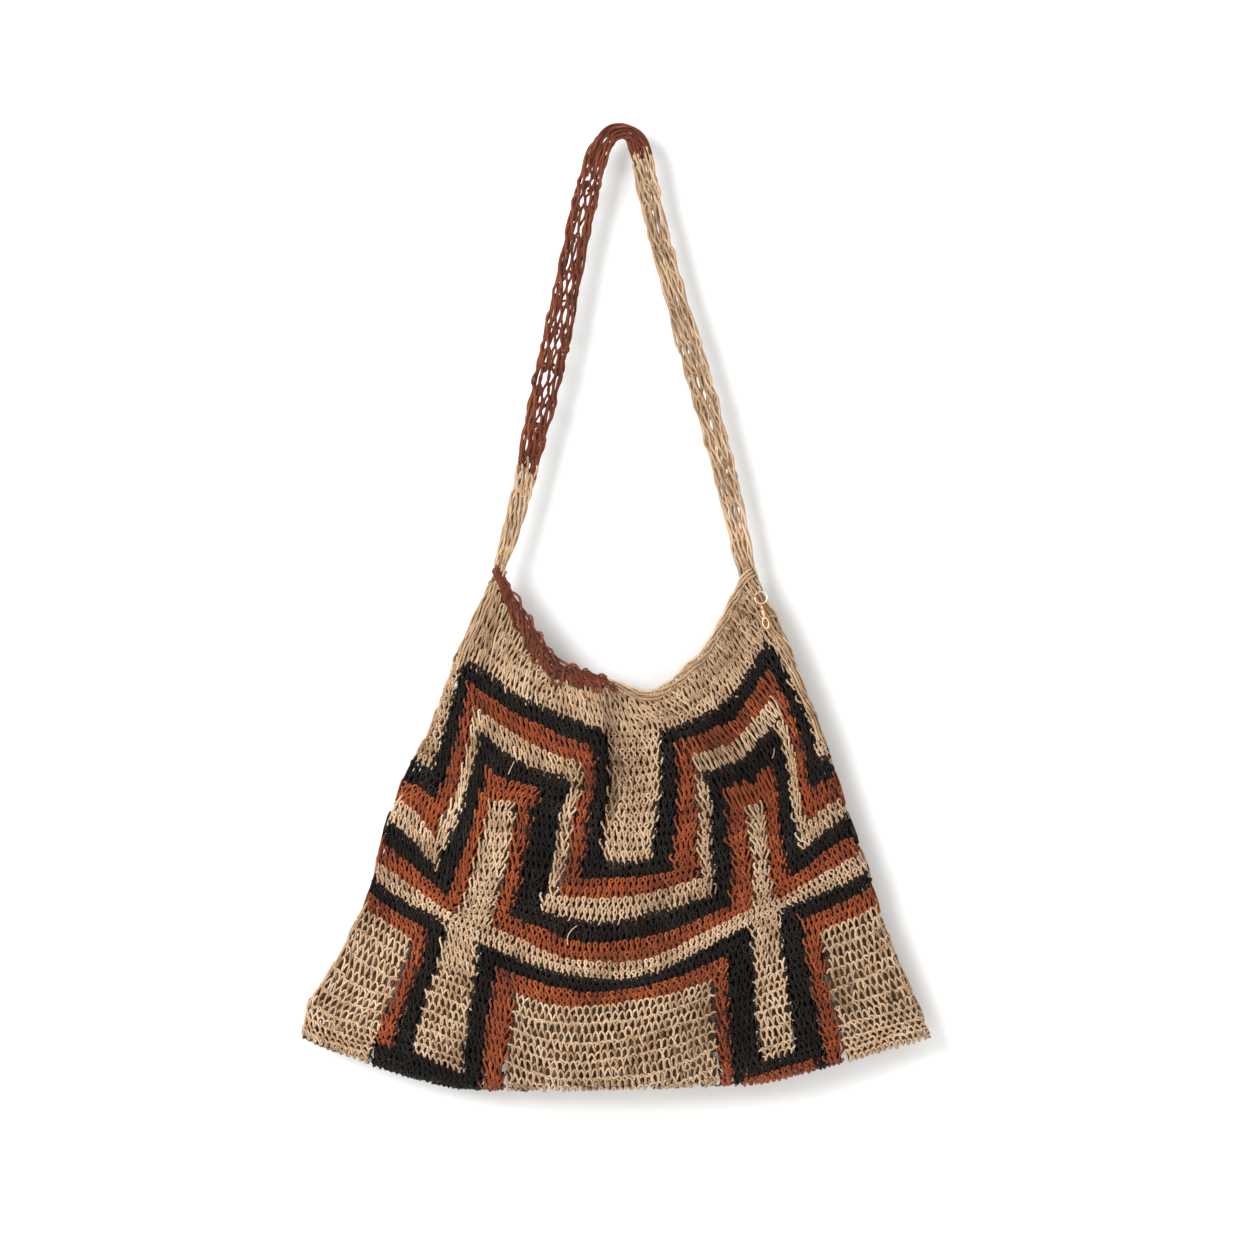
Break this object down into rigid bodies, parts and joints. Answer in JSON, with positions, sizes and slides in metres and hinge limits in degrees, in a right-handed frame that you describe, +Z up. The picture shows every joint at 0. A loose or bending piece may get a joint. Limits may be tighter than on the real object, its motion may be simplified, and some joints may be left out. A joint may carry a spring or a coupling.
{
  "type": "string shoulder bag",
  "caption": "Looped string shoulder bag hanging from its strap, with an open sagging mouth, a small ring and a clasp.",
  "frame": {"origin": "the point that the bag hangs from, at the inside of the strap's top bend", "axes": "+Z up, -Y out of the bag's patterned face, +Y towards the wall that it hangs against, +X to the right of someone who looks at the face"},
  "size_m": [0.4543, 0.0467, 0.6985],
  "materials": {
    "natural_string": "twisted plant fibre string, matt, undyed",
    "rust_string": "twisted plant fibre string, matt, dyed rust brown",
    "black_string": "twisted plant fibre string, matt, dyed black",
    "pale_gold_metal": "polished pale gold plating",
    "copper_gold_metal": "polished copper gold plating"
  },
  "bodies": {
    "root": {"bag_body": "natural_string", "shoulder_strap": "rust_string", "ring": "pale_gold_metal", "clasp": "copper_gold_metal"}
  },
  "joints": []
}
